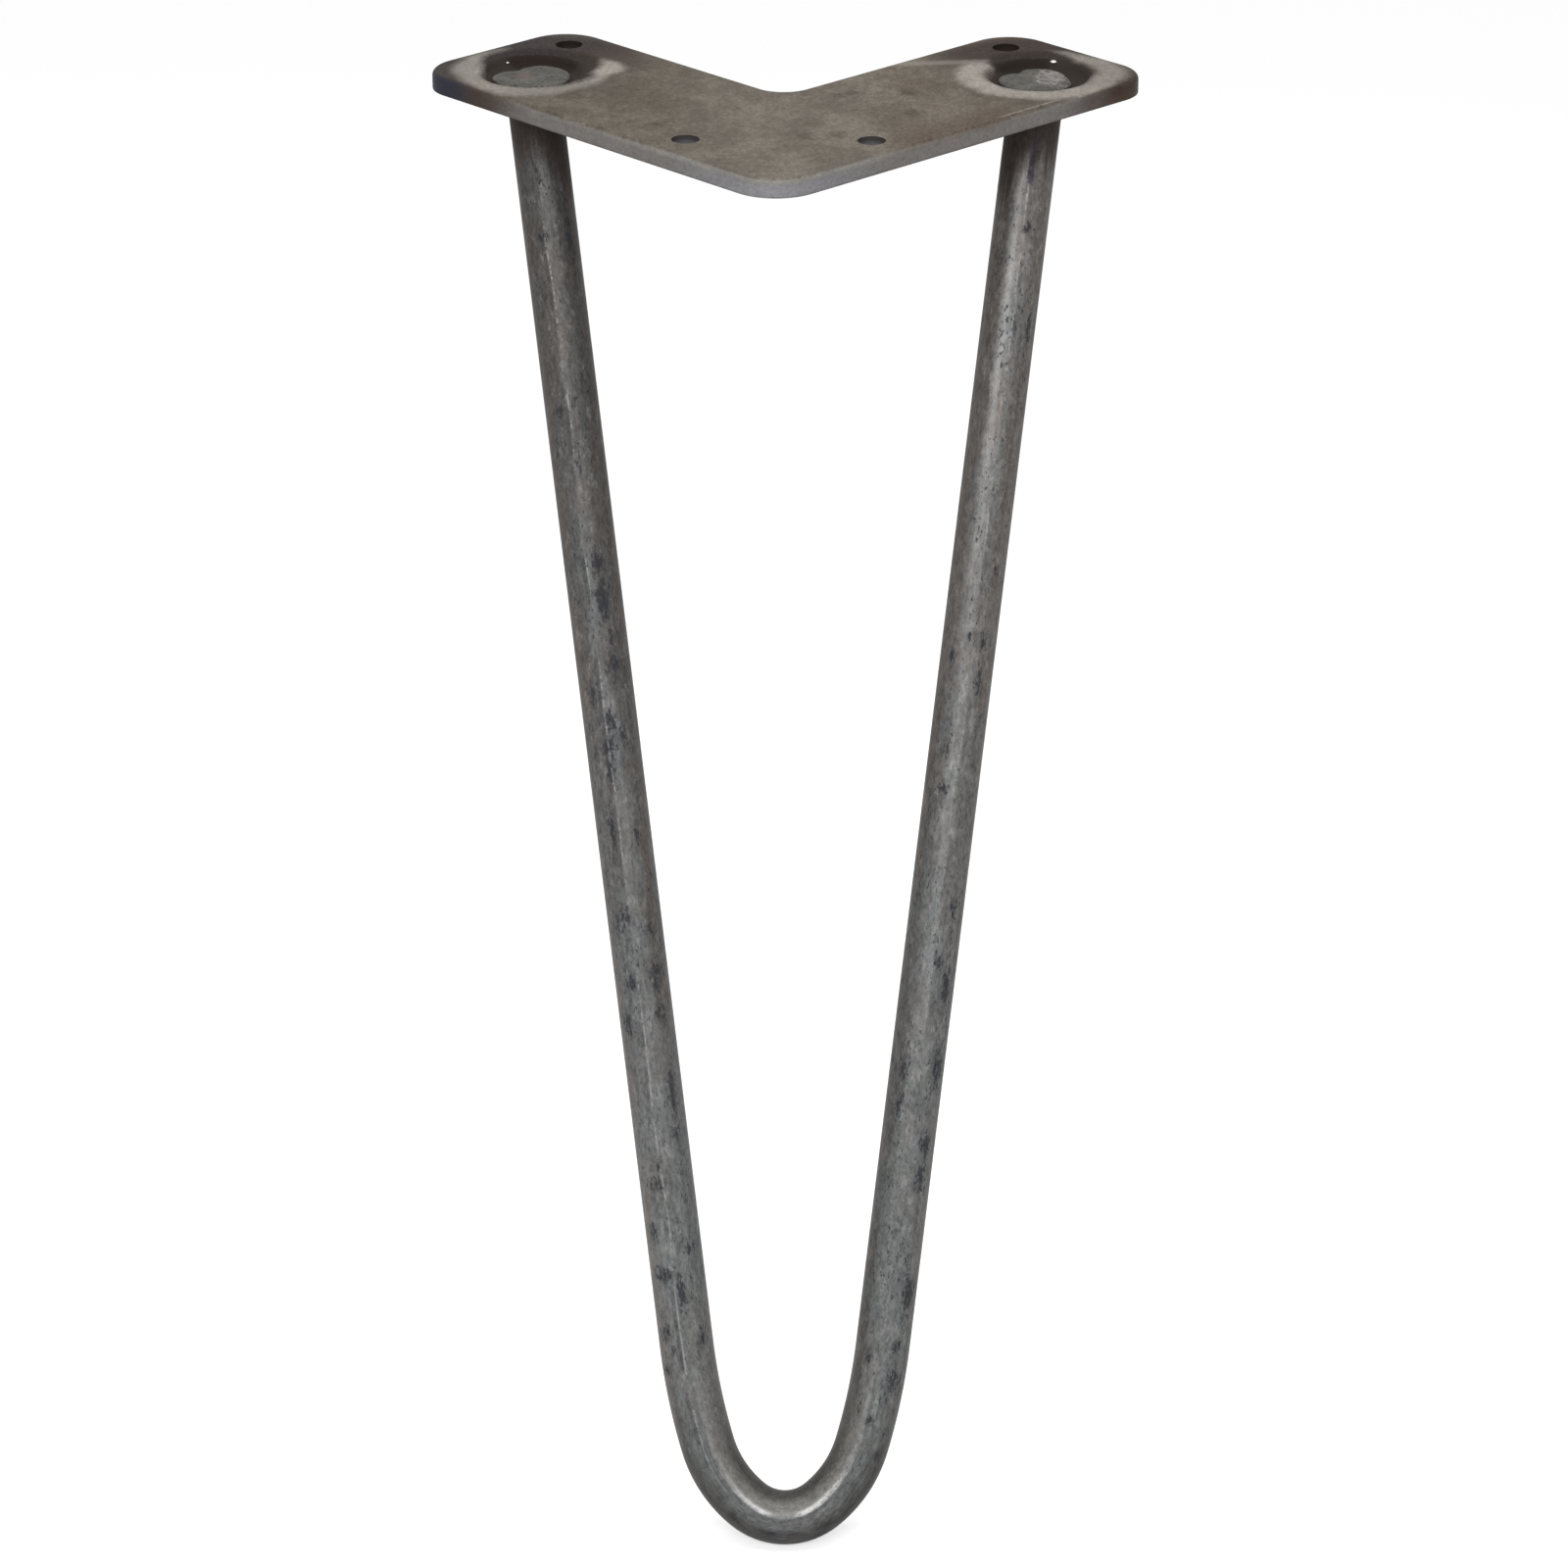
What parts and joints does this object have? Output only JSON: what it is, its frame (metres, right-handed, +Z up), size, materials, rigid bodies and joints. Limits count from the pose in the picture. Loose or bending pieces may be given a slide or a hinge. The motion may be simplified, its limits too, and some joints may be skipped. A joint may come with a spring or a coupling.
{
  "type": "hairpin table leg",
  "caption": "Low hairpin table leg: a round steel bar bent at the foot, its ends plug-welded into dished seats of a V-shaped plate that screws under a table top.",
  "frame": {"origin": "on the plate's top face, midway between the two front screw holes", "axes": "+Z up, out of the plate's top face into the table; the plate's corner points along -Y and its arms open towards +Y; +X to the right seen from the corner"},
  "size_m": [0.155, 0.1477, 0.305],
  "materials": {
    "plate_steel": "raw mill sheet, brown-grey, with pale heat rings round the weld seats",
    "bar_steel": "raw hot-rolled bar, satin grey with dark mill-scale flecks along it",
    "weld_metal": "as welded, dull green-grey with pale flakes"
  },
  "bodies": {
    "root": {"mounting_plate": "plate_steel", "hairpin_rod": "bar_steel", "left_weld": "weld_metal", "right_weld": "weld_metal"}
  },
  "joints": []
}
